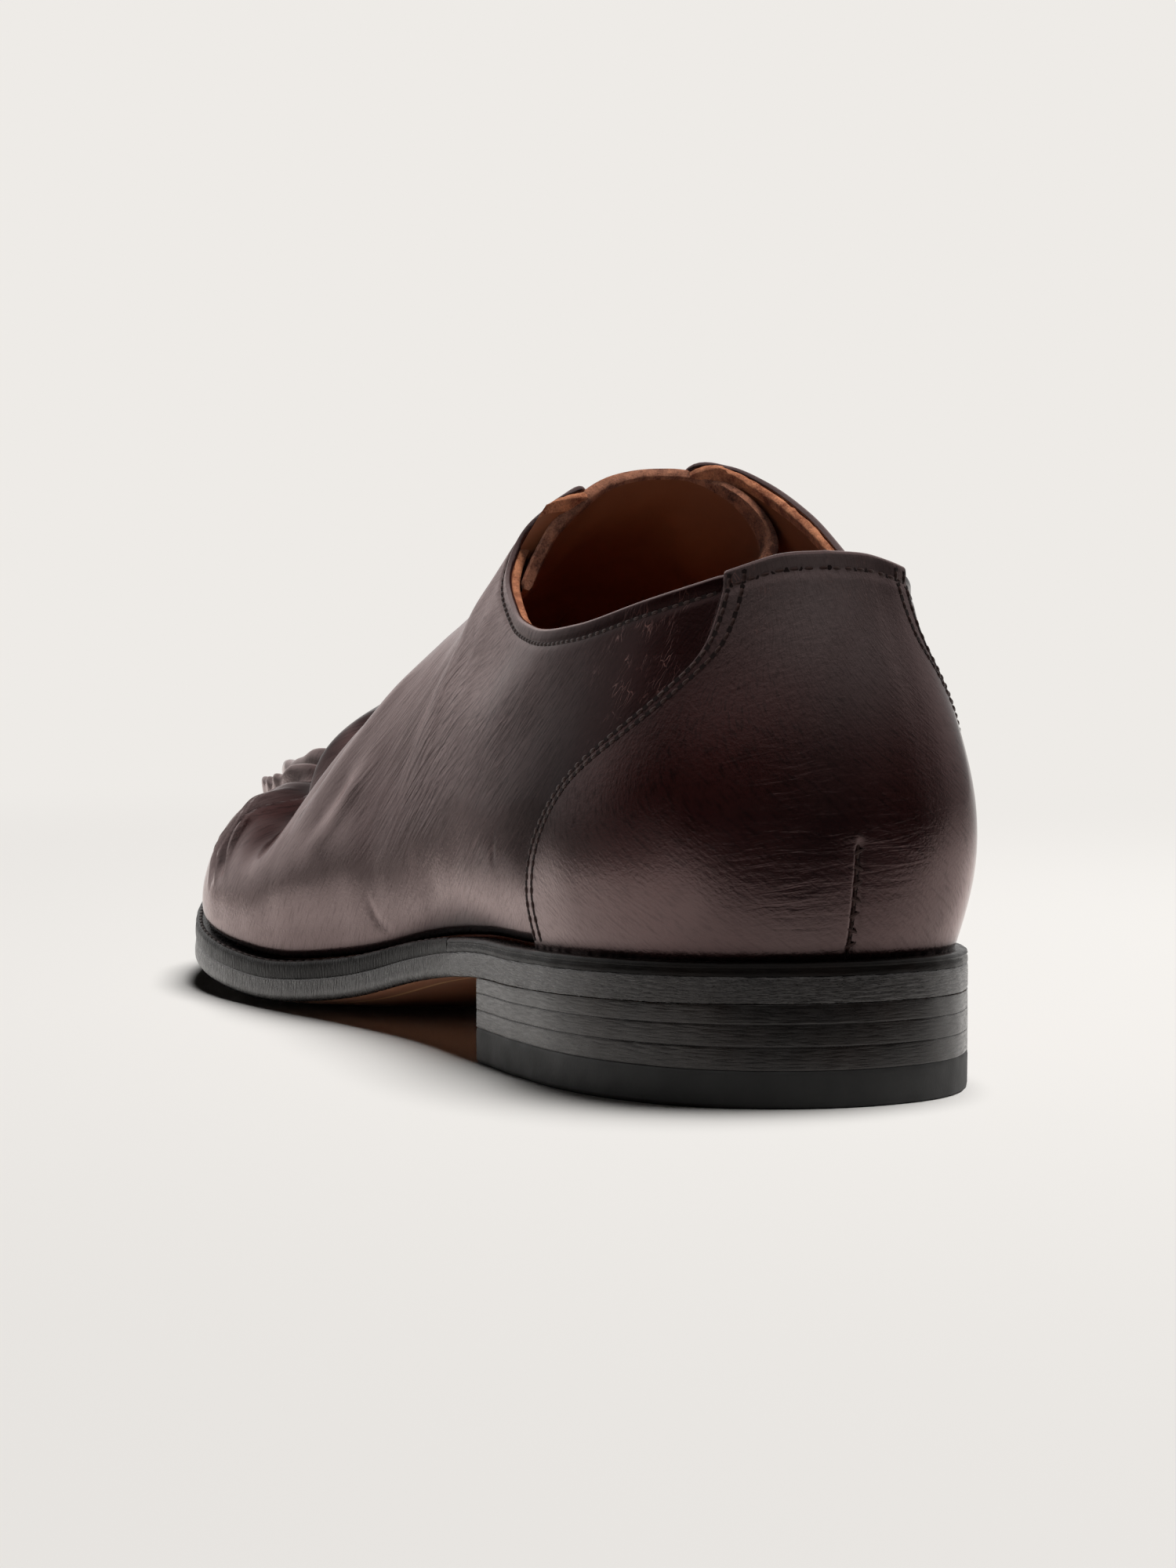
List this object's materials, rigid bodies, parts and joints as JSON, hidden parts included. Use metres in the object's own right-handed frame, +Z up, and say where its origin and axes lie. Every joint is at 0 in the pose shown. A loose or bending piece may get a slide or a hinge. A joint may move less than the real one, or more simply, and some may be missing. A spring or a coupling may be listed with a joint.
{
  "type": "moc toe derby shoe",
  "caption": "Low leather lace-up shoe with a raised moc seam round the toe, open lacing, a wrap-round counter, a welted leather sole and a stacked heel with a rubber top piece.",
  "frame": {"origin": "on the floor, below the middle of the shoe's box", "axes": "+Y runs from heel to toe, +Z is up, +X is the inner (medial) side of this left shoe"},
  "size_m": [0.102, 0.2948, 0.1013],
  "materials": {
    "calf": "polished, burnished dark oxblood brown",
    "lining": "natural tan, matt",
    "sole_edge": "inked near black, waxed",
    "sole_leather": "stained red-brown, satin",
    "rubber": "smooth matt black",
    "lace": "waxed round cord"
  },
  "bodies": {
    "root": {"top_piece": "rubber", "heel_lift_1": "sole_edge", "heel_lift_2": "sole_edge", "heel_lift_3": "sole_edge", "outsole": "sole_leather", "heel_seat": "sole_edge", "welt": "sole_edge", "insole": "lining", "upper": "calf", "counter": "calf", "tongue": "lining", "lace_bar_1": "lace", "lace_bar_2": "lace", "lace_bar_3": "lace"}
  },
  "joints": []
}
